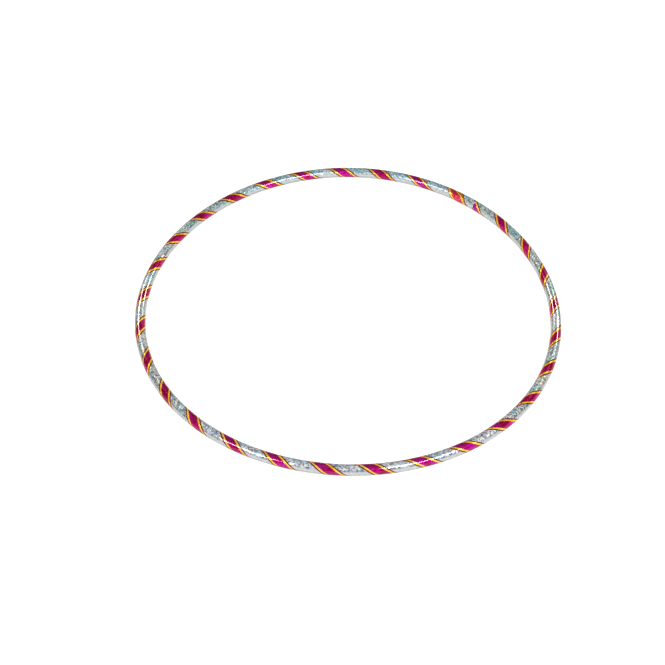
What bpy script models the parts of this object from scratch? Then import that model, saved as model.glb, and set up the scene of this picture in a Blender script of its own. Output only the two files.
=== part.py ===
"""Rhythmic gymnastics hoop, lying flat.

A plastic tube is bent into a ring and closed over an inner plug with four pins. A silver film, a
magenta tape and two gold tapes are wound round it side by side as one helix, and a short tape of
another colour makes the first turn, over the joint. Metres, +Z up: the ring's axis is Z, it rests
on z = 0 and its joint lies on +X.
"""

import math

import bmesh
import bpy
from mathutils import Vector

# Ring and tube
OUTER_DIAMETER = 0.800
WRAPPED_THICKNESS = 0.020
TUBE_DIAMETER = 0.019
TUBE_WALL = 0.002
BUTT_GAP = 0.0004
FIT_GAP = 0.0003

# Inner plug and its pins
PLUG_WALL = 0.002
PLUG_LENGTH = 0.120
PIN_HEAD_RADIUS = 0.0023
PIN_SHANK_RADIUS = 0.0012
PIN_HEAD_DEPTH = 0.0011
PIN_LENGTH = 0.0046
PIN_RECESS = 0.0002
PIN_OFFSETS = (-0.042, -0.018, 0.018, 0.042)
HOLE_OVERRUN = 0.002

# Windings: distances along the ring are measured on its centreline, from the joint
FILM_THICKNESS = 0.0002
WINDING_PITCH = 0.08285
FIRST_STRIPE = 0.0092
TAPE_SEAM = -0.0448
MAGENTA_WIDTH = 0.0126
GOLD_WIDTH = 0.0054

# The tapes are laid by hand, so the stripes drift by a few millimetres: (size, waves, peak in degrees)
WINDING_DRIFT = ((0.0039, 1, -7.8), (0.0024, 2, 16.2), (0.0020, 3, -6.8))
JOINT_PULL = 0.0140
JOINT_PULL_TURNS = 0.45
JOINT_PULL_PEAK = 0.20

# Facets: the tube's section has flats at its top, bottom, inner and outer side
SECTION_SIDES = 12
RING_STEPS = 96
PIN_STEPS = 16

RING_RADIUS = (OUTER_DIAMETER - WRAPPED_THICKNESS) / 2
RING_HEIGHT = WRAPPED_THICKNESS / 2
TUBE_RADIUS = TUBE_DIAMETER / 2
TAPE_RADIUS = WRAPPED_THICKNESS / 2 - FILM_THICKNESS
PLUG_RADIUS = TUBE_RADIUS - TUBE_WALL - FIT_GAP
RING_LENGTH = 2 * math.pi * RING_RADIUS
SIDE_ANGLE = 2 * math.pi / SECTION_SIDES

# Turns round the tube: 0 is on top of it, in the first stripe. The joint tape ends on the underside,
# and the windings are laid out past both ends of the ring before they are cut.
JOINT_TAPE_END = (SECTION_SIDES / 2 + 0.5) / SECTION_SIDES
FIRST_TURN = -2.0
LAST_TURN = RING_LENGTH / WINDING_PITCH + 1.0


def ring_angle(distance):
    """Angle round the ring, in radians, of a distance along its centreline."""
    return distance / RING_RADIUS


def clear_scene():
    """Remove every object of the start-up scene."""
    for obj in list(bpy.data.objects):
        bpy.data.objects.remove(obj, do_unlink=True)


def new_collection(name):
    """A collection linked to the scene."""
    made = bpy.data.collections.new(name)
    bpy.context.scene.collection.children.link(made)
    return made


def plain_material(name, colour, roughness, metallic=0.0):
    """A Principled material with one colour."""
    mat = bpy.data.materials.new(name)
    mat.use_nodes = True
    shader = mat.node_tree.nodes["Principled BSDF"]
    shader.inputs["Base Color"].default_value = (*colour, 1.0)
    shader.inputs["Roughness"].default_value = roughness
    shader.inputs["Metallic"].default_value = metallic
    return mat


def add_object(name, mesh, collection, mat=None):
    """An object for a mesh, in a collection, with its material if it has one."""
    obj = bpy.data.objects.new(name, mesh)
    collection.objects.link(obj)
    if mat is not None:
        mesh.materials.append(mat)
    return obj


def outline_mesh(name, points, closed):
    """A mesh of edges only, through the points in order."""
    count = len(points)
    edges = [(i, i + 1) for i in range(count - 1)]
    if closed:
        edges.append((count - 1, 0))
    mesh = bpy.data.meshes.new(name)
    mesh.from_pydata(points, edges, [])
    return mesh


def turn(obj, angle, steps, merge=False):
    """Turn an outline round its object's Z axis with a Screw modifier."""
    screw = obj.modifiers.new("turn", "SCREW")
    screw.angle = angle
    screw.steps = steps
    screw.render_steps = steps
    screw.use_merge_vertices = merge
    screw.merge_threshold = 0.00001
    screw.use_smooth_shade = False
    return screw


def flat_distance(apothem, around):
    """Distance from the tube's centreline to its flat-sided surface, at an angle round the tube.

    The apothem is the distance to the middle of a flat.
    """
    from_middle = (around + SIDE_ANGLE / 2) % SIDE_ANGLE - SIDE_ANGLE / 2
    return apothem / math.cos(from_middle)


def section_point(apothem, around):
    """Radius from the ring's axis and height of a surface point.

    The angle round the tube is 0 at its top and grows towards the outside of the ring.
    """
    reach = flat_distance(apothem, around)
    return RING_RADIUS + reach * math.sin(around), RING_HEIGHT + reach * math.cos(around)


def ring_shell(name, radius, wall, start, end, steps, collection, mat):
    """A tube bent round the ring from one angle to another, open at both ends."""
    corners = [(i + 0.5) * SIDE_ANGLE for i in range(SECTION_SIDES)]
    section = [section_point(radius, around) for around in corners]
    points = [(across, 0.0, height) for across, height in section]
    obj = add_object(name, outline_mesh(name, points, True), collection, mat)
    obj.rotation_euler.z = start
    turn(obj, end - start, steps)
    shell = obj.modifiers.new("wall", "SOLIDIFY")
    shell.thickness = wall
    shell.offset = -1.0
    shell.use_even_offset = True
    return obj


def pin_outline(clearance, overrun):
    """Outline of a countersunk pin whose head faces +Z, with its top at z = overrun.

    The clearance is added to its radii for a hole, and the overrun takes a hole past the surface.
    """
    head = PIN_HEAD_RADIUS + clearance
    shank = PIN_SHANK_RADIUS + clearance
    foot = -PIN_LENGTH - overrun
    mouth = [(0.0, 0.0, overrun), (head, 0.0, overrun)]
    if overrun > 0.0:
        mouth.append((head, 0.0, -clearance))
    neck = -PIN_HEAD_DEPTH - clearance
    return [*mouth, (shank, 0.0, neck), (shank, 0.0, foot), (0.0, 0.0, foot)]


def turned_pin(name, offset, clearance, overrun, collection, mat=None):
    """A pin, or the cutter for its hole, driven into the ring's inner side."""
    outline = outline_mesh(name, pin_outline(clearance, overrun), False)
    obj = add_object(name, outline, collection, mat)
    turn(obj, 2 * math.pi, PIN_STEPS, merge=True)
    angle = ring_angle(offset)
    reach = RING_RADIUS - TUBE_RADIUS + PIN_RECESS
    obj.location = (reach * math.cos(angle), reach * math.sin(angle), RING_HEIGHT)
    obj.rotation_euler = (0.0, -math.pi / 2, angle)
    return obj


def cut(obj, cutter):
    """Take a cutter's shape out of an object."""
    boolean = obj.modifiers.new("cut_" + cutter.name, "BOOLEAN")
    boolean.operation = "DIFFERENCE"
    boolean.solver = "EXACT"
    boolean.object = cutter


def stripe_centre(turns):
    """Distance along the ring of a stripe's middle, after some turns round the tube.

    The first turn is pulled back towards the joint.
    """
    laid = FIRST_STRIPE + WINDING_PITCH * turns
    drift = -JOINT_PULL * math.exp(-(((turns - JOINT_PULL_PEAK) / JOINT_PULL_TURNS) ** 2))
    for size, waves, peak in WINDING_DRIFT:
        drift += size * math.cos(waves * (ring_angle(laid) - math.radians(peak)))
    return laid + drift


def along(width):
    """Length along the ring that a width across a tape covers."""
    around = 2 * math.pi * TAPE_RADIUS
    return width * math.hypot(around, WINDING_PITCH) / around


def turn_rows(first, last):
    """Turns at which a tape crosses a corner of the tube's section, with its own two ends."""
    count = math.ceil((last - first) * SECTION_SIDES)
    corner = math.floor(first * SECTION_SIDES) + 0.5
    corners = [(corner + i) / SECTION_SIDES for i in range(count + 1)]
    return [first, *(turns for turns in corners if first < turns < last), last]


def wound_tape(name, edges, first, last, columns, collection, mat):
    """A tape wound round the tube from one turn to another, and cut square where the winding ends.

    The edges function gives the distances along the ring of the tape's two edges after some turns.
    The tape is laid out flat as length against turns, cut there, and then wrapped on the tube.
    """
    bm = bmesh.new()
    rows = []
    for turns in turn_rows(first, last):
        low, high = edges(turns)
        spread = [low + (high - low) * j / columns for j in range(columns + 1)]
        rows.append([bm.verts.new((length, turns, 0.0)) for length in spread])
    for row, following in zip(rows, rows[1:]):
        for j in range(columns):
            bm.faces.new((row[j], following[j], following[j + 1], row[j + 1]))
    trim_ends(bm, TAPE_SEAM + BUTT_GAP / 2, TAPE_SEAM + RING_LENGTH - BUTT_GAP / 2)
    bmesh.ops.triangulate(bm, faces=bm.faces)
    for vert in bm.verts:
        vert.co = wrapped(ring_angle(vert.co.x), 2 * math.pi * vert.co.y)
    mesh = bpy.data.meshes.new(name)
    bm.to_mesh(mesh)
    bm.free()
    obj = add_object(name, mesh, collection, mat)
    body = obj.modifiers.new("thickness", "SOLIDIFY")
    body.thickness = FILM_THICKNESS
    body.offset = 1.0
    body.use_even_offset = True
    return obj


def trim_ends(bm, low, high):
    """Cut a flat tape square at both ends, across its length."""
    for place, side in ((low, -1.0), (high, 1.0)):
        bmesh.ops.bisect_plane(
            bm,
            geom=[*bm.verts, *bm.edges, *bm.faces],
            plane_co=(place, 0.0, 0.0),
            plane_no=(side, 0.0, 0.0),
            clear_outer=True,
        )


def wrapped(angle, around):
    """The point of the tapes' inner surface at an angle round the ring and round the tube."""
    across, height = section_point(TAPE_RADIUS, around)
    return Vector((across * math.cos(angle), across * math.sin(angle), height))


def magenta_edges(turns):
    """Edges of the magenta tape."""
    middle = stripe_centre(turns)
    half = along(MAGENTA_WIDTH) / 2
    return middle - half, middle + half


def leading_gold_edges(turns):
    """Edges of the gold tape on the side where the winding began."""
    high = magenta_edges(turns)[0] - along(FIT_GAP)
    return high - along(GOLD_WIDTH), high


def trailing_gold_edges(turns):
    """Edges of the gold tape on the other side of the magenta one."""
    low = magenta_edges(turns)[1] + along(FIT_GAP)
    return low, low + along(GOLD_WIDTH)


def silver_edges(turns):
    """Edges of the silver film, which fills the space up to the next stripe."""
    low = trailing_gold_edges(turns)[1] + along(FIT_GAP)
    high = leading_gold_edges(turns + 1)[0] - along(FIT_GAP)
    return low, high


def joint_edges(turns):
    """Edges of the joint tape, which is as wide as the magenta and gold tapes together."""
    return leading_gold_edges(turns)[0], trailing_gold_edges(turns)[1]


def build():
    """Make every piece of the hoop."""
    clear_scene()
    hoop = new_collection("rhythmic_hoop")
    cutters = new_collection("cutters")

    white_plastic = plain_material("white_plastic", (0.86, 0.86, 0.84), 0.45)
    grey_plastic = plain_material("grey_plastic", (0.30, 0.31, 0.33), 0.55)
    steel = plain_material("steel", (0.62, 0.62, 0.64), 0.30, metallic=1.0)
    silver = plain_material("silver_holographic", (0.78, 0.82, 0.84), 0.18, metallic=0.9)
    magenta = plain_material("magenta_foil", (0.62, 0.01, 0.24), 0.20, metallic=0.5)
    gold = plain_material("gold_foil", (0.86, 0.50, 0.10), 0.25, metallic=0.8)
    rose = plain_material("rose_foil", (0.60, 0.05, 0.09), 0.20, metallic=0.4)

    full = 2 * math.pi
    step = full / RING_STEPS
    half_gap = ring_angle(BUTT_GAP) / 2
    half_plug = ring_angle(PLUG_LENGTH) / 2
    plug_steps = math.ceil(2 * half_plug / step)
    tube = ring_shell(
        "hoop_tube", TUBE_RADIUS, TUBE_WALL, half_gap, full - half_gap, RING_STEPS, hoop, white_plastic
    )
    plug = ring_shell(
        "joint_plug", PLUG_RADIUS, PLUG_WALL, -half_plug, half_plug, plug_steps, hoop, grey_plastic
    )
    for number, offset in enumerate(PIN_OFFSETS, 1):
        turned_pin(f"joint_pin_{number}", offset, 0.0, 0.0, hoop, steel)
        hole = turned_pin(f"pin_hole_{number}", offset, FIT_GAP, HOLE_OVERRUN, cutters)
        hole.hide_render = True
        hole.display_type = "WIRE"
        cut(tube, hole)
        cut(plug, hole)

    wound_tape("silver_film", silver_edges, FIRST_TURN, LAST_TURN, 2, hoop, silver)
    joint_tape_end = JOINT_TAPE_END - FIT_GAP / (2 * math.pi * TAPE_RADIUS)
    wound_tape("joint_tape", joint_edges, FIRST_TURN, joint_tape_end, 2, hoop, rose)
    wound_tape("magenta_tape", magenta_edges, JOINT_TAPE_END, LAST_TURN, 1, hoop, magenta)
    wound_tape("gold_tape_leading", leading_gold_edges, JOINT_TAPE_END, LAST_TURN, 1, hoop, gold)
    wound_tape("gold_tape_trailing", trailing_gold_edges, JOINT_TAPE_END, LAST_TURN, 1, hoop, gold)


build()
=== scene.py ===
"""Looks of the rhythmic hoop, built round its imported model.

Every tape is made again as a smooth, thin, closed strip, wound on the ring by the same helix as in
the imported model. The foils' colours, flakes and clear gloss are procedural. Lengths are in metres.
"""

import math

import bmesh
import bpy
from mathutils import Matrix, Vector


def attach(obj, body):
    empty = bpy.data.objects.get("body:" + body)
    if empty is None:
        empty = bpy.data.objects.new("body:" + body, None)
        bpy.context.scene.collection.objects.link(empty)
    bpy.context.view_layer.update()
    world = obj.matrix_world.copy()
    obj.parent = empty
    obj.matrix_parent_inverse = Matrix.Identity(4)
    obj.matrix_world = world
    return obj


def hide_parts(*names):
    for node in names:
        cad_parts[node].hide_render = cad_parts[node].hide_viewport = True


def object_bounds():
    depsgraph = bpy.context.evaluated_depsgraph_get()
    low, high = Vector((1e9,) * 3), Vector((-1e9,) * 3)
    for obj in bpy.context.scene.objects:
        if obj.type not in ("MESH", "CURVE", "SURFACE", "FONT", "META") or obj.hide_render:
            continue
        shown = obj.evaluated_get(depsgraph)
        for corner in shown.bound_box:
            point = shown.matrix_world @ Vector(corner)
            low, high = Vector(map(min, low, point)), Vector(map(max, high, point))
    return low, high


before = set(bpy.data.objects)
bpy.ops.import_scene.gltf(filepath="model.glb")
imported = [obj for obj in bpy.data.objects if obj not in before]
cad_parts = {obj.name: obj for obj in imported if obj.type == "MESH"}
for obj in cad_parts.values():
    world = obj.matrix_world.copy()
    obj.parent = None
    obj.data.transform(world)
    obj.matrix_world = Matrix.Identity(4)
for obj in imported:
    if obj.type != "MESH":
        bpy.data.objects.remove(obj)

# Ring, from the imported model's box
CAD_LOW, CAD_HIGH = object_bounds()
WRAPPED_THICKNESS = round(CAD_HIGH.z - CAD_LOW.z, 4)
OUTER_RADIUS = round((CAD_HIGH.x - CAD_LOW.x) / 2, 4)
RING_RADIUS = OUTER_RADIUS - WRAPPED_THICKNESS / 2
RING_HEIGHT = CAD_LOW.z + WRAPPED_THICKNESS / 2
RING_LENGTH = 2 * math.pi * RING_RADIUS

# The tube has taken a set: it is a little out of round, in three waves
SET_SHARE = 0.0069
SET_WAVES = 3
SET_PEAK = math.radians(28.35)

# Tube and plug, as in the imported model
TUBE_DIAMETER = 0.019
TUBE_WALL = 0.002
BUTT_GAP = 0.0004
FIT_GAP = 0.0003
PLUG_WALL = 0.002
PLUG_LENGTH = 0.120

# Windings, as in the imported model: distances along the ring are measured from the joint, and turns
# round the tube from its top
TAPE_RADIUS = 0.0098
WINDING_PITCH = 0.08285
FIRST_STRIPE = 0.0092
TAPE_SEAM = -0.0448
MAGENTA_WIDTH = 0.0126
GOLD_WIDTH = 0.0054
SILVER_SPACING = WINDING_PITCH - MAGENTA_WIDTH - 2 * GOLD_WIDTH
JOINT_TAPE_END = 6.5 / 12
FIRST_TURN = -2.0
LAST_TURN = RING_LENGTH / WINDING_PITCH + 1.0

# Hand winding: slow drifts of the stripes along the ring, as (size, waves round the ring, peak in
# degrees), and a pull at the joint that dies away over part of a turn
WINDING_DRIFT = ((0.0039, 1, -7.8), (0.0024, 2, 16.2), (0.0020, 3, -6.8))
JOINT_PULL = 0.0140
JOINT_PULL_TURNS = 0.45
JOINT_PULL_PEAK = 0.20

# The strips' inner and outer faces, as distances from the tube's middle, and the gaps between
# neighbours: across the tapes, and from the joint tape's end to the stripe that goes on from it
STRIP_INNER = 0.00972
SILVER_OUTER = 0.00994
GOLD_OUTER = 0.01000
MAGENTA_OUTER = 0.00998
JOINT_OUTER = 0.01002
TAPE_GAP = 0.0001
JOINT_TAPE_GAP_TURNS = 0.002

# Printed across the gold tapes
DARK_EDGE = 0.0022
GOLD_BAND = 0.0028

# Printed across the joint tape. The wedge and the second gold band widen as the tape winds on, as
# (first width, width added, turns where it starts to widen, turns that takes)
JOINT_EDGE = 0.0013
JOINT_BAND = 0.0026
JOINT_LINE = 0.0006
AMBER_WEDGE = (0.0014, 0.0058, -0.13, 0.18)
SECOND_BAND = (0.0004, 0.0016, -0.05, 0.25)

# Mesh steps: faces round the tube, a column's width across a tape, and a tube's step round the ring
ROUND_STEPS = 48
COLUMN_WIDTH = 0.0030
TUBE_STEP = math.radians(0.75)
SHARP_ANGLE = math.radians(40)

# Foils: their flakes, the slower changes of hue, shade and roughness over them, the silver's
# painted light low on the sides (a plainer, lighter grey), and the clear gloss on top
SILVER_FLAKE = 0.0023
SILVER_SPARK = 0.0011
COLOURED_FLAKE = 0.0026
HUE_PATCH = 0.045
SHADE_PATCH = 0.020
SILVER_WEAR = 0.006
COLOURED_WEAR = 0.005
SILVER_PAINTED_SIDE_LIGHT = (0.42, 0.42, 0.425)
COAT_WEIGHT = 0.32
COAT_ROUGHNESS = 0.03
COAT_IOR = 1.6
FOIL_SPECULAR = 0.1

# Plastic's cloudiness and draw lines, and steel's turning marks
PLASTIC_PATCH = 0.015
DRAW_LINE = 0.0006
DRAW_LINE_STRETCH = (0.05, 1.0, 1.0)
TURNING_MARK = 0.00025

# Camera. Its bearing says how far round from -Y the photographed front of the ring is, its distance
# is in ring radii, and pan, tilt and roll turn it from looking at the ring's middle
BEARING = math.radians(-55.75)
CAMERA_DISTANCE = 6.600
CAMERA_ELEVATION = math.radians(45.57)
CAMERA_PAN = math.radians(0.65)
CAMERA_TILT = math.radians(-1.10)
CAMERA_ROLL = math.radians(1.07)
SENSOR_WIDTH = 36.0
LENS = 73.7
CLIP = (0.05, 200.0)

# Softboxes: azimuth and elevation in degrees, distance, width, height and radiance. Azimuth 0 is to
# the camera's right, and 90 behind the ring
SOFTBOXES = {
    "softbox_front_left": (221, 46, 4.5, 1.7, 0.68, 72.0),
    "softbox_front_right": (308, 48, 2.8, 1.4, 0.42, 72.0),
    "softbox_back_right": (50, 33, 8.0, 1.8, 1.1, 76.0),
    "softbox_back_left": (126, 36, 8.0, 1.7, 1.0, 76.0),
}

# The floor glows, so that it is white behind the ring. The room is darkest above the softboxes
FLOOR_RADIUS = 12.0
FLOOR_SIDES = 96
FLOOR_COLOUR = 0.16
FLOOR_GLOW = 0.86
FLOOR_ROUGHNESS = 0.9
ROOM_GLOW = (
    (0.00, (0.60, 0.60, 0.60)),
    (0.06, (0.45, 0.45, 0.45)),
    (0.22, (0.16, 0.16, 0.16)),
    (0.70, (0.07, 0.07, 0.07)),
    (0.90, (0.35, 0.35, 0.35)),
    (1.00, (0.60, 0.60, 0.60)),
)


# ---------------------------------------------------------------- shapes


def stripe_centre(turns):
    """Distance along the ring of a stripe's middle, after some turns round the tube."""
    laid = FIRST_STRIPE + WINDING_PITCH * turns
    drift = -JOINT_PULL * math.exp(-(((turns - JOINT_PULL_PEAK) / JOINT_PULL_TURNS) ** 2))
    for size, waves, peak in WINDING_DRIFT:
        drift += size * math.cos(waves * (laid / RING_RADIUS - math.radians(peak)))
    return laid + drift


def along(width):
    """Length along the ring that a width across a tape covers."""
    around = 2 * math.pi * TAPE_RADIUS
    return width * math.hypot(around, WINDING_PITCH) / around


def out_of_round(angle):
    """How far outside its true circle the ring runs at an angle."""
    return RING_RADIUS * SET_SHARE * math.cos(SET_WAVES * (angle - SET_PEAK))


def ring_point(distance, turns, reach):
    """The point this far along the ring, turned round the tube, and out from the tube's middle."""
    angle = distance / RING_RADIUS
    around = 2 * math.pi * turns
    across = RING_RADIUS + out_of_round(angle) + reach * math.sin(around)
    height = RING_HEIGHT + reach * math.cos(around)
    return Vector((across * math.cos(angle), across * math.sin(angle), height))


def spread(low, high, width):
    """Even places from one edge of a tape to the other, about a column's width apart."""
    count = max(1, round(width / COLUMN_WIDTH))
    return [low + (high - low) * i / count for i in range(count + 1)]


def magenta_columns(turns):
    """Places along the ring of the magenta tape's columns."""
    middle = stripe_centre(turns)
    half = along(MAGENTA_WIDTH) / 2
    return spread(middle - half, middle + half, MAGENTA_WIDTH)


def leading_gold_columns(turns):
    """Places of the leading gold tape's columns: dark edge, gold band, thin dark line."""
    high = magenta_columns(turns)[0] - along(TAPE_GAP)
    low = high - along(GOLD_WIDTH)
    return [low, low + along(DARK_EDGE), low + along(DARK_EDGE + GOLD_BAND), high]


def trailing_gold_columns(turns):
    """Places of the trailing gold tape's columns, the leading one's mirrored."""
    low = magenta_columns(turns)[-1] + along(TAPE_GAP)
    high = low + along(GOLD_WIDTH)
    return [low, high - along(DARK_EDGE + GOLD_BAND), high - along(DARK_EDGE), high]


def silver_columns(turns):
    """Places of the silver film's columns, between one stripe and the next."""
    low = trailing_gold_columns(turns)[-1] + along(TAPE_GAP)
    high = leading_gold_columns(turns + 1)[0] - along(TAPE_GAP)
    return spread(low, high, SILVER_SPACING)


def smooth_step(share):
    """0 below 0, 1 above 1 and smooth between."""
    share = min(1.0, max(0.0, share))
    return share * share * (3 - 2 * share)


def widening(turns, first, added, start, span):
    """Length along the ring of a printed width that grows as the tape winds on."""
    return along(first + added * smooth_step((turns - start) / span))


def joint_columns(turns):
    """Places of the joint tape's columns.

    They are a dark edge, an amber wedge, a thin dark line, a gold band and the rose middle, and on
    the other side a gold band, a thin dark line, a second gold band and a dark edge.
    """
    edge, band, line = along(JOINT_EDGE), along(JOINT_BAND), along(JOINT_LINE)
    wedge = widening(turns, *AMBER_WEDGE)
    doubled = widening(turns, *SECOND_BAND)
    left = [leading_gold_columns(turns)[0]]
    for width in (edge, wedge, line, band):
        left.append(left[-1] + width)
    high = trailing_gold_columns(turns)[-1]
    right = [
        high - edge - band - line - doubled,
        high - edge - band - line,
        high - edge - band,
        high - edge,
        high,
    ]
    middle = spread(left[-1], right[0], MAGENTA_WIDTH)
    return [*left, *middle[1:-1], *right]


def plain_paint(column, count):
    """Every column has the first material."""
    return 0


def gold_paint(column, count):
    """Gold between the dark edge and the thin dark line, on either gold tape."""
    return (1, 0, 1)[column]


def joint_paint(column, count):
    """Rose between the joint tape's printed borders."""
    left = (2, 3, 2, 1)
    right = (3, 2, 1, 2)
    if column < len(left):
        return left[column]
    if column >= count - len(right):
        return right[column - (count - len(right))]
    return 0


def trim_ends(bm, low, high):
    """Cut a flat strip square at both ends of the winding."""
    for place, side in ((low, -1.0), (high, 1.0)):
        bmesh.ops.bisect_plane(
            bm,
            geom=[*bm.verts, *bm.edges, *bm.faces],
            plane_co=(place, 0.0, 0.0),
            plane_no=(side, 0.0, 0.0),
            clear_outer=True,
        )


def add_piece(name, mesh, materials, node_name):
    """A piece of the hoop: its object, its materials, and the node it stands for."""
    obj = bpy.data.objects.new(name, mesh)
    bpy.context.scene.collection.objects.link(obj)
    for mat in materials:
        mesh.materials.append(mat)
    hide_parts(node_name)
    return obj


def thicken(obj, thickness, even):
    """Close a sheet into a solid, inwards from its outer face, and shade it smooth."""
    body = obj.modifiers.new("thickness", "SOLIDIFY")
    body.thickness = thickness
    body.offset = -1.0
    body.use_even_offset = even
    bpy.context.view_layer.update()
    graph = bpy.context.evaluated_depsgraph_get()
    made = bpy.data.meshes.new_from_object(obj.evaluated_get(graph))
    obj.modifiers.clear()
    obj.data = made
    made.shade_smooth()
    made.set_sharp_from_angle(angle=SHARP_ANGLE)


def wound_strip(name, node_name, columns, paint, turns, outer, materials):
    """A thin closed strip wound round the ring, from one number of turns to another.

    It is laid out flat, with a row of columns every few degrees of winding, cut at the seam, and
    then rolled on to the tube. The columns function gives the places along the ring of a row's
    columns, and paint gives each column's material.
    """
    first, last = turns
    count = math.ceil((last - first) * ROUND_STEPS)
    bm = bmesh.new()
    rows = []
    for i in range(count + 1):
        wound = first + (last - first) * i / count
        rows.append([bm.verts.new((place, wound, 0.0)) for place in columns(wound)])
    width = len(rows[0]) - 1
    for row, following in zip(rows, rows[1:]):
        for j in range(width):
            face = bm.faces.new((row[j], following[j], following[j + 1], row[j + 1]))
            face.material_index = paint(j, width)
    trim_ends(bm, TAPE_SEAM + BUTT_GAP / 2, TAPE_SEAM + RING_LENGTH - BUTT_GAP / 2)
    bmesh.ops.triangulate(bm, faces=[face for face in bm.faces if len(face.verts) > 4])
    for vert in bm.verts:
        vert.co = ring_point(vert.co.x, vert.co.y, outer)
    mesh = bpy.data.meshes.new(name)
    bm.to_mesh(mesh)
    bm.free()
    obj = add_piece(name, mesh, materials, node_name)
    thicken(obj, outer - STRIP_INNER, even=True)
    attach(obj, "root")


def ring_tube(name, node_name, reach, wall, angles, material):
    """A smooth tube bent round the ring from one angle to another, open at both ends."""
    start, end = angles
    steps = math.ceil((end - start) / TUBE_STEP)
    bm = bmesh.new()
    loops = []
    for i in range(steps + 1):
        distance = (start + (end - start) * i / steps) * RING_RADIUS
        points = [ring_point(distance, j / ROUND_STEPS, reach) for j in range(ROUND_STEPS)]
        loops.append([bm.verts.new(point) for point in points])
    for loop, following in zip(loops, loops[1:]):
        for j in range(ROUND_STEPS):
            k = (j + 1) % ROUND_STEPS
            bm.faces.new((loop[j], loop[k], following[k], following[j]))
    bmesh.ops.recalc_face_normals(bm, faces=bm.faces)
    mesh = bpy.data.meshes.new(name)
    bm.to_mesh(mesh)
    bm.free()
    obj = add_piece(name, mesh, [material], node_name)
    thicken(obj, wall, even=False)
    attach(obj, "root")


def seated_pin(node_name, packed, steel):
    """A pin's own shape, moved in or out with the set of the tube."""
    mesh = packed.data.copy()
    mesh.materials.clear()
    mesh.transform(packed.matrix_world)
    middle = sum((vert.co for vert in mesh.vertices), Vector()) / len(mesh.vertices)
    angle = math.atan2(middle.y, middle.x)
    shift = Vector((math.cos(angle), math.sin(angle), 0.0)) * out_of_round(angle)
    mesh.transform(Matrix.Translation(shift))
    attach(add_piece(node_name + "_seated", mesh, [steel], node_name), "root")


# ---------------------------------------------------------------- materials


def node(tree, kind, inputs=None, **settings):
    """A node with its settings, and its inputs linked or set."""
    made = tree.nodes.new(kind)
    for key, value in settings.items():
        setattr(made, key, value)
    for socket, value in (inputs or {}).items():
        feed(tree, made.inputs[socket], value)
    return made


def feed(tree, socket, value):
    """Link a socket to another node's output, or set it to a plain value."""
    if isinstance(value, bpy.types.NodeSocket):
        tree.links.new(value, socket)
    else:
        socket.default_value = value


def maths(tree, operation, *values):
    """A Math node's result."""
    return node(tree, "ShaderNodeMath", dict(enumerate(values)), operation=operation).outputs[0]


def vectors(tree, operation, *values, scale=None):
    """A Vector Math node's result."""
    made = node(tree, "ShaderNodeVectorMath", dict(enumerate(values)), operation=operation)
    if scale is not None:
        made.inputs["Scale"].default_value = scale
    return made.outputs[0]


def ramp(tree, factor, stops):
    """A Color Ramp's colour. The stops are (position, (red, green, blue))."""
    made = node(tree, "ShaderNodeValToRGB", {"Fac": factor})
    elements = made.color_ramp.elements
    while len(elements) < len(stops):
        elements.new(1.0)
    for element, (position, colour) in zip(elements, stops):
        element.position = position
        element.color = (*colour, 1.0)
    return made.outputs["Color"]


def mixed(tree, factor, first, second, blend="MIX"):
    """A colour Mix node's result."""
    made = node(tree, "ShaderNodeMix", data_type="RGBA", blend_type=blend)
    for index, value in ((0, factor), (6, first), (7, second)):
        feed(tree, made.inputs[index], value)
    return made.outputs[2]


def combined(tree, red, green, blue):
    """A colour from its three parts."""
    return node(tree, "ShaderNodeCombineColor", {0: red, 1: green, 2: blue}).outputs[0]


def new_material(name):
    """A material with its tree and Principled shader."""
    mat = bpy.data.materials.new(name)
    mat.use_nodes = True
    return mat, mat.node_tree, mat.node_tree.nodes["Principled BSDF"]


def wrap_place(tree):
    """Where a point lies on the wrap.

    Its place in metres along the ring and round the tube from its top, as a vector, then its angle
    round the tube, and its angle round the ring.
    """
    place = node(tree, "ShaderNodeTexCoord").outputs["Object"]
    parts = node(tree, "ShaderNodeSeparateXYZ", {"Vector": place})
    x, y, z = (parts.outputs[axis] for axis in "XYZ")
    angle = maths(tree, "ARCTAN2", y, x)
    squares = maths(tree, "ADD", maths(tree, "MULTIPLY", x, x), maths(tree, "MULTIPLY", y, y))
    flat = maths(tree, "SQRT", squares)
    waves = maths(tree, "MULTIPLY", maths(tree, "SUBTRACT", angle, SET_PEAK), float(SET_WAVES))
    swing = maths(tree, "COSINE", waves)
    bent = maths(tree, "MULTIPLY_ADD", swing, RING_RADIUS * SET_SHARE, RING_RADIUS)
    outward = maths(tree, "SUBTRACT", flat, bent)
    upward = maths(tree, "SUBTRACT", z, RING_HEIGHT)
    around = maths(tree, "ARCTAN2", outward, upward)
    length = maths(tree, "MULTIPLY", angle, RING_RADIUS)
    arc = maths(tree, "MULTIPLY", around, TAPE_RADIUS)
    return node(tree, "ShaderNodeCombineXYZ", {"X": length, "Y": arc}).outputs[0], around, angle


def flakes(tree, place, size):
    """Random numbers for each foil flake, as a colour and its red, green and blue parts."""
    cells = node(
        tree,
        "ShaderNodeTexVoronoi",
        {"Vector": place, "Scale": 1.0 / size},
        voronoi_dimensions="2D",
    ).outputs["Color"]
    parts = node(tree, "ShaderNodeSeparateColor", {"Color": cells})
    return cells, [parts.outputs[i] for i in range(3)]


def cloud(tree, place, size, detail=2.0):
    """Smooth noise of a size, from 0 to 1."""
    return node(
        tree,
        "ShaderNodeTexNoise",
        {"Vector": place, "Scale": 1.0 / size, "Detail": detail},
        noise_dimensions="2D",
    ).outputs["Fac"]


def between(tree, value, low, high, to_low, to_high):
    """A value carried smoothly from one range to another."""
    return node(
        tree,
        "ShaderNodeMapRange",
        {"Value": value, "From Min": low, "From Max": high, "To Min": to_low, "To Max": to_high},
        interpolation_type="SMOOTHSTEP",
    ).outputs["Result"]


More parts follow.
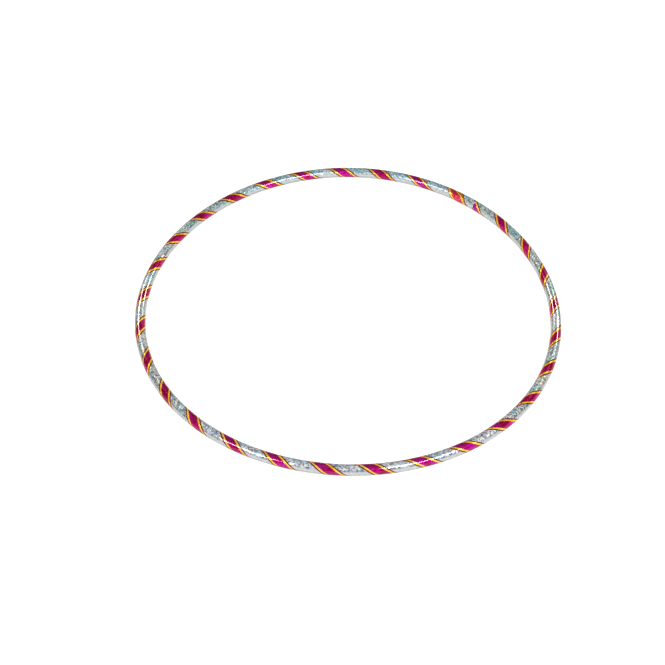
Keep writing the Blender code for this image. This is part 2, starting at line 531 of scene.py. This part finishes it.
def down_the_side(tree, around, start, end, at_top, at_side):
    """A value that changes between two angles from the top of the tube, in degrees, either way."""
    lean = maths(tree, "ABSOLUTE", around)
    return between(tree, lean, math.radians(start), math.radians(end), at_top, at_side)


def sheen_towards_sides(tree, angle, at_sides):
    """1 at the ring's front and back as photographed, and another value at its left and right."""
    turned = maths(tree, "SUBTRACT", angle, BEARING)
    wave = maths(tree, "COSINE", maths(tree, "MULTIPLY", turned, 2.0))
    return between(tree, wave, -0.5, 0.8, 1.0, at_sides)


def sheen_towards_back(tree, angle, at_back):
    """1 at the ring's front as photographed, and another value at its back."""
    wave = maths(tree, "SINE", maths(tree, "SUBTRACT", angle, BEARING))
    return between(tree, wave, 0.2, 0.9, 1.0, at_back)


def worn(tree, shader, place, size, smooth, rough):
    """A roughness that varies over a surface."""
    wear = between(tree, cloud(tree, place, size), 0.3, 0.7, smooth, rough)
    feed(tree, shader.inputs["Roughness"], wear)


def tilt(tree, shader, cells, amount):
    """Lean the surface's normal at random in each flake."""
    centred = vectors(tree, "SUBTRACT", cells, (0.5, 0.5, 0.5))
    normal = node(tree, "ShaderNodeNewGeometry").outputs["Normal"]
    leaning = vectors(tree, "SCALE", centred, scale=amount)
    tilted = vectors(tree, "NORMALIZE", vectors(tree, "ADD", normal, leaning))
    feed(tree, shader.inputs["Normal"], tilted)


def relief(tree, shader, height, strength, distance):
    """Fine bumps from a pattern."""
    inputs = {"Strength": strength, "Distance": distance, "Height": height}
    feed(tree, shader.inputs["Normal"], node(tree, "ShaderNodeBump", inputs).outputs[0])


def gloss(shader, metallic, edge):
    """A clear glossy film over a foil, whose own shine takes on a tint towards the edge."""
    shader.inputs["Metallic"].default_value = metallic
    shader.inputs["Specular Tint"].default_value = (*edge, 1.0)
    shader.inputs["Coat Weight"].default_value = COAT_WEIGHT
    shader.inputs["Coat Roughness"].default_value = COAT_ROUGHNESS
    shader.inputs["Coat IOR"].default_value = COAT_IOR
    shader.inputs["Specular IOR Level"].default_value = FOIL_SPECULAR


def silver_foil():
    """Holographic silver: tinted flakes that lean at random, strongest on top of the tube.

    It is painted teal at the ring's front and back as the camera sees it, and more neutral at its
    left and right: a painted iridescent sheen, the hue this foil shows there under these lights. The
    glitter on top and the lighter grey low on the sides are painted light too.
    """
    mat, tree, shader = new_material("silver_holographic_foil")
    place, around, angle = wrap_place(tree)
    cells, (hue, light, _) = flakes(tree, place, SILVER_FLAKE)
    _, (_, spark, _) = flakes(tree, place, SILVER_SPARK)
    region = cloud(tree, place, HUE_PATCH, 1.0)
    shifted = maths(tree, "FRACT", maths(tree, "ADD", maths(tree, "MULTIPLY", hue, 0.55), region))
    tint = ramp(
        tree,
        shifted,
        [
            (0.00, (0.68, 0.68, 0.60)),
            (0.20, (0.52, 0.70, 0.62)),
            (0.38, (0.20, 0.62, 0.50)),
            (0.52, (0.36, 0.64, 0.64)),
            (0.66, (0.44, 0.54, 0.74)),
            (0.82, (0.74, 0.64, 0.72)),
            (1.00, (0.68, 0.68, 0.60)),
        ],
    )
    bright = between(tree, light, 0.0, 1.0, 0.11, 0.44)
    flecked = maths(tree, "MULTIPLY", bright, between(tree, spark, 0.0, 1.0, 0.85, 1.15))
    # Painted iridescent sheen round the ring: less red at the back, less blue at the left and right
    red = maths(tree, "MULTIPLY", flecked, sheen_towards_back(tree, angle, 0.80))
    blue = maths(tree, "MULTIPLY", flecked, sheen_towards_sides(tree, angle, 0.88))
    mosaic = mixed(tree, 1.0, tint, combined(tree, red, flecked, blue), "MULTIPLY")
    # Painted light: the flakes' colours show on top of the tube, where the lights shine in, and low
    # on the sides the foil is painted a plainer, lighter grey, where it faces the floor. The real
    # foil is the same all round.
    strength = down_the_side(tree, around, 45, 75, 1.0, 0.22)
    colour = mixed(tree, strength, (*SILVER_PAINTED_SIDE_LIGHT, 1.0), mosaic)
    feed(tree, shader.inputs["Base Color"], colour)
    worn(tree, shader, place, SILVER_WEAR, 0.36, 0.48)
    tilt(tree, shader, cells, 0.14)
    gloss(shader, 0.5, (0.55, 0.56, 0.56))
    return mat


def coloured_foil(name, shades, edge, metallic, roughness, leaning, painted_top_shade):
    """A coloured foil: flakes in a few shades of one colour, deeper on top of the tube.

    Painted light: it is darker on top of the tube and lighter low on its sides, where it faces the
    floor, though the real foil is the same all round. Less blue is painted at the ring's left and
    right as the camera sees it: a painted iridescent sheen.
    """
    mat, tree, shader = new_material(name)
    place, around, angle = wrap_place(tree)
    cells, (pick, _, _) = flakes(tree, place, COLOURED_FLAKE)
    patches = between(tree, cloud(tree, place, SHADE_PATCH), 0.35, 0.65, 0.0, 1.0)
    flaked = maths(tree, "MULTIPLY", pick, 0.6)
    chosen = maths(tree, "ADD", flaked, maths(tree, "MULTIPLY", patches, 0.4))
    stops = [(i / (len(shades) - 1), shade) for i, shade in enumerate(shades)]
    # Painted shade: darker on top of the tube, lighter low on the sides, where the floor lights it
    share = down_the_side(tree, around, 30, 60, painted_top_shade, 0.92)
    # Painted iridescent sheen: less blue at the ring's left and right
    blue = maths(tree, "MULTIPLY", share, sheen_towards_sides(tree, angle, 0.55))
    level = combined(tree, share, share, blue)
    colour = mixed(tree, 1.0, ramp(tree, chosen, stops), level, "MULTIPLY")
    feed(tree, shader.inputs["Base Color"], colour)
    worn(tree, shader, place, COLOURED_WEAR, roughness * 0.8, roughness * 1.2)
    tilt(tree, shader, cells, leaning)
    gloss(shader, metallic, edge)
    return mat


def moulded_plastic(name, colour, darker, roughness):
    """Extruded or moulded plastic with faint draw lines and a slightly uneven colour."""
    mat, tree, shader = new_material(name)
    place, _, _ = wrap_place(tree)
    uneven = cloud(tree, place, PLASTIC_PATCH, 4.0)
    feed(tree, shader.inputs["Base Color"], mixed(tree, uneven, (*darker, 1.0), (*colour, 1.0)))
    lines = cloud(tree, vectors(tree, "MULTIPLY", place, DRAW_LINE_STRETCH), DRAW_LINE)
    drawn = between(tree, lines, 0.3, 0.7, roughness - 0.06, roughness + 0.06)
    feed(tree, shader.inputs["Roughness"], drawn)
    relief(tree, shader, lines, 0.15, 0.0001)
    return mat


def turned_steel():
    """Bright steel with fine turning marks."""
    mat, tree, shader = new_material("pin_steel")
    place = node(tree, "ShaderNodeTexCoord").outputs["Object"]
    inputs = {"Vector": place, "Scale": 1.0 / TURNING_MARK, "Detail": 3.0}
    marks = node(tree, "ShaderNodeTexNoise", inputs).outputs["Fac"]
    colour = ramp(tree, marks, [(0.3, (0.48, 0.48, 0.50)), (0.7, (0.66, 0.66, 0.68))])
    feed(tree, shader.inputs["Base Color"], colour)
    feed(tree, shader.inputs["Roughness"], between(tree, marks, 0.3, 0.7, 0.22, 0.38))
    relief(tree, shader, marks, 0.1, 0.00005)
    shader.inputs["Metallic"].default_value = 1.0
    return mat


# ---------------------------------------------------------------- the hoop


def build_tapes():
    """The five wound strips, with their foils and prints."""
    silver = silver_foil()
    # Each foil's painted_top_shade is painted shade: how much darker it is on top of the tube
    magenta = coloured_foil(
        "magenta_foil",
        shades=[(0.13, 0.0, 0.018), (0.25, 0.0, 0.056), (0.29, 0.0, 0.12), (0.43, 0.003, 0.36)],
        edge=(0.5, 0.05, 0.25),
        metallic=0.35,
        roughness=0.34,
        leaning=0.14,
        painted_top_shade=0.37,
    )
    gold = coloured_foil(
        "gold_foil",
        shades=[(0.62, 0.28, 0.02), (0.76, 0.39, 0.04), (0.86, 0.52, 0.09)],
        edge=(0.6, 0.4, 0.1),
        metallic=0.5,
        roughness=0.36,
        leaning=0.08,
        painted_top_shade=0.52,
    )
    dark = coloured_foil(
        "dark_print",
        shades=[(0.035, 0.005, 0.004), (0.075, 0.014, 0.007)],
        edge=(0.3, 0.1, 0.05),
        metallic=0.0,
        roughness=0.50,
        leaning=0.03,
        painted_top_shade=0.6,
    )
    rose = coloured_foil(
        "rose_foil",
        shades=[(0.22, 0.003, 0.014), (0.34, 0.01, 0.034), (0.44, 0.026, 0.06), (0.60, 0.09, 0.15)],
        edge=(0.5, 0.1, 0.12),
        metallic=0.35,
        roughness=0.34,
        leaning=0.14,
        painted_top_shade=0.45,
    )
    amber = coloured_foil(
        "amber_foil",
        shades=[(0.16, 0.055, 0.002), (0.26, 0.10, 0.004), (0.36, 0.16, 0.010)],
        edge=(0.5, 0.3, 0.05),
        metallic=0.4,
        roughness=0.34,
        leaning=0.08,
        painted_top_shade=0.6,
    )

    whole = (FIRST_TURN, LAST_TURN)
    after_joint = (JOINT_TAPE_END, LAST_TURN)
    at_joint = (FIRST_TURN, JOINT_TAPE_END - JOINT_TAPE_GAP_TURNS)
    wound_strip(
        "silver_film_wrap", "silver_film", silver_columns, plain_paint,
        whole, SILVER_OUTER, [silver],
    )
    wound_strip(
        "magenta_tape_wrap", "magenta_tape", magenta_columns, plain_paint,
        after_joint, MAGENTA_OUTER, [magenta],
    )
    wound_strip(
        "gold_tape_leading_wrap", "gold_tape_leading", leading_gold_columns, gold_paint,
        after_joint, GOLD_OUTER, [gold, dark],
    )
    wound_strip(
        "gold_tape_trailing_wrap", "gold_tape_trailing", trailing_gold_columns, gold_paint,
        after_joint, GOLD_OUTER, [gold, dark],
    )
    wound_strip(
        "joint_tape_wrap", "joint_tape", joint_columns, joint_paint,
        at_joint, JOINT_OUTER, [rose, gold, dark, amber],
    )


def build_core():
    """The smooth tube and plug, and the pins."""
    white = moulded_plastic("tube_plastic", (0.84, 0.84, 0.82), (0.76, 0.76, 0.74), 0.42)
    half_gap = BUTT_GAP / RING_RADIUS / 2
    tube_reach = TUBE_DIAMETER / 2
    tube_angles = (half_gap, 2 * math.pi - half_gap)
    grey = moulded_plastic("plug_plastic", (0.30, 0.31, 0.33), (0.24, 0.25, 0.27), 0.50)
    half_plug = PLUG_LENGTH / RING_RADIUS / 2
    plug_reach = tube_reach - TUBE_WALL - FIT_GAP
    plug_angles = (-half_plug, half_plug)
    ring_tube(
        "hoop_tube_smooth", "hoop_tube", tube_reach, TUBE_WALL, tube_angles, white
    )
    ring_tube(
        "joint_plug_smooth", "joint_plug", plug_reach, PLUG_WALL, plug_angles, grey
    )

    steel = turned_steel()
    for name, packed in list(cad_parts.items()):
        if name.startswith("joint_pin"):
            seated_pin(name, packed, steel)


# ---------------------------------------------------------------- studio


def place_camera():
    """The camera: looking down on the ring from its front, a little turned and rolled."""
    distance = CAMERA_DISTANCE * RING_RADIUS
    turn = Matrix.Rotation(BEARING, 4, "Z")
    place = Vector(
        (0.0, -distance * math.cos(CAMERA_ELEVATION), distance * math.sin(CAMERA_ELEVATION))
    )
    forward = -place.normalized()
    right = Vector((1.0, 0.0, 0.0))
    up = right.cross(forward)
    aim = Matrix((right, up, -forward)).transposed().to_4x4()
    for angle, axis in ((CAMERA_PAN, "Y"), (CAMERA_TILT, "X"), (CAMERA_ROLL, "Z")):
        aim = aim @ Matrix.Rotation(angle, 4, axis)
    data = bpy.data.cameras.new("camera")
    data.sensor_width = SENSOR_WIDTH
    data.lens = LENS
    data.clip_start, data.clip_end = CLIP
    camera = bpy.data.objects.new("camera", data)
    bpy.context.scene.collection.objects.link(camera)
    lifted = Matrix.Translation(Vector((0.0, 0.0, RING_HEIGHT)))
    camera.matrix_world = lifted @ turn @ Matrix.Translation(place) @ aim
    bpy.context.scene.camera = camera


def softbox(name, azimuth, elevation, distance, width, height, radiance):
    """A soft light that faces the ring."""
    data = bpy.data.lights.new(name, "AREA")
    data.shape = "RECTANGLE"
    data.size = width
    data.size_y = height
    data.energy = radiance * math.pi * width * height
    light = bpy.data.objects.new(name, data)
    bpy.context.scene.collection.objects.link(light)
    turned = math.radians(azimuth) + BEARING
    raised = math.radians(elevation)
    level = math.cos(raised)
    facing = Vector((level * math.cos(turned), level * math.sin(turned), math.sin(raised)))
    light.location = facing * distance
    light.rotation_mode = "QUATERNION"
    light.rotation_quaternion = facing.to_track_quat("Z", "Y")


def lay_floor():
    """A plain pale floor."""
    mesh = bpy.data.meshes.new("floor")
    bm = bmesh.new()
    bmesh.ops.create_circle(bm, cap_ends=True, segments=FLOOR_SIDES, radius=FLOOR_RADIUS)
    bm.to_mesh(mesh)
    bm.free()
    floor = bpy.data.objects.new("floor", mesh)
    bpy.context.scene.collection.objects.link(floor)
    mat, _, shader = new_material("pale_floor")
    shader.inputs["Base Color"].default_value = (FLOOR_COLOUR, FLOOR_COLOUR, FLOOR_COLOUR, 1.0)
    shader.inputs["Emission Color"].default_value = (1.0, 1.0, 1.0, 1.0)
    shader.inputs["Emission Strength"].default_value = FLOOR_GLOW
    shader.inputs["Roughness"].default_value = FLOOR_ROUGHNESS
    shader.inputs["Specular IOR Level"].default_value = 0.0
    mesh.materials.append(mat)


def light_room():
    """A soft grey room, brighter at the horizon and overhead, shown without a film look."""
    world = bpy.data.worlds.new("room")
    bpy.context.scene.world = world
    world.use_nodes = True
    tree = world.node_tree
    direction = node(tree, "ShaderNodeTexCoord").outputs["Generated"]
    height = node(tree, "ShaderNodeSeparateXYZ", {"Vector": direction}).outputs["Z"]
    background = tree.nodes["Background"]
    feed(tree, background.inputs["Color"], ramp(tree, height, ROOM_GLOW))
    background.inputs["Strength"].default_value = 1.0
    view = bpy.context.scene.view_settings
    view.view_transform = "Standard"
    view.look = "None"


build_tapes()
build_core()
place_camera()
for light_name, placing in SOFTBOXES.items():
    softbox(light_name, *placing)
lay_floor()
light_room()
